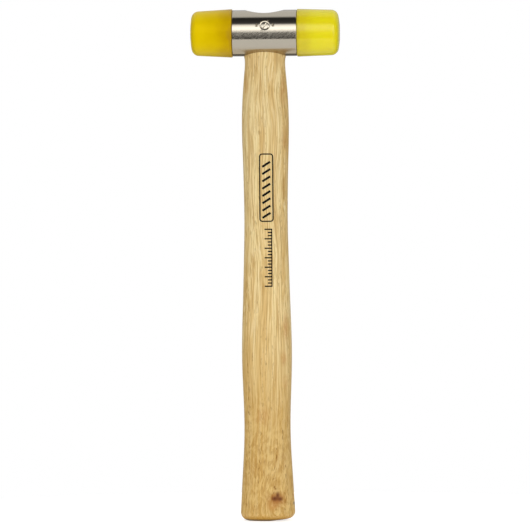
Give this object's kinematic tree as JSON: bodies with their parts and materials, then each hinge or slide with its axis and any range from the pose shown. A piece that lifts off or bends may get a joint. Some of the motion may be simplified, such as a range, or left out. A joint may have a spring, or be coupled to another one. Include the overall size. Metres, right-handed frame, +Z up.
{
  "type": "soft face hammer",
  "caption": "Soft-face hammer: short plated steel head with screw-in hard and soft plastic faces, on an oval wooden handle held by crossed wedges.",
  "frame": {"origin": "centre of the handle's flat butt end, on the handle's axis; the hammer stands on it", "axes": "+Z up along the handle to the head; X along the head, the hard face on -X and the soft face on +X; the front is -Y"},
  "size_m": [0.0711, 0.023, 0.2436],
  "materials": {
    "head_steel": "nickel-plated steel, turned and finely brushed round the bar",
    "stud_steel": "zinc-plated steel, threaded",
    "wedge_steel": "plain mild steel, dulled",
    "amber_plastic": "hard translucent amber plastic, smooth",
    "lemon_plastic": "soft lemon-yellow plastic, smooth and nearly opaque",
    "handle_wood": "pale ash-like hardwood, straight open grain, thin clear varnish",
    "wedge_wood": "bare hardwood, end grain",
    "print_ink": "thin black printed film on the handle's front, used by the looks only"
  },
  "bodies": {
    "head": {"head_body": "head_steel", "handle": "handle_wood", "wooden_wedge": "wedge_wood", "steel_wedge": "wedge_steel"},
    "hard_stud": {"hard_face_stud": "stud_steel"},
    "hard_tip": {"hard_face": "amber_plastic"},
    "soft_stud": {"soft_face_stud": "stud_steel"},
    "soft_tip": {"soft_face": "lemon_plastic"}
  },
  "joints": [
    {"name": "hard_face_travel", "type": "slide", "parent": "head", "child": "hard_stud", "axis": [-1, 0, 0], "range_m": [0, 0.0061]},
    {"name": "hard_face_unscrew", "type": "hinge", "parent": "hard_stud", "child": "hard_tip", "pos_m": [-0.01545, 0, 0.2321], "axis": [-1, 0, 0], "range_deg": [0, 1440]},
    {"name": "soft_face_travel", "type": "slide", "parent": "head", "child": "soft_stud", "axis": [1, 0, 0], "range_m": [0, 0.0061]},
    {"name": "soft_face_unscrew", "type": "hinge", "parent": "soft_stud", "child": "soft_tip", "pos_m": [0.01545, 0, 0.2321], "axis": [1, 0, 0], "range_deg": [0, 1440]}
  ],
  "couplings": [
    {"joint": "hard_face_travel", "follows": "hard_face_unscrew", "m_per_rad": 0.00023873},
    {"joint": "soft_face_travel", "follows": "soft_face_unscrew", "m_per_rad": 0.00023873}
  ]
}
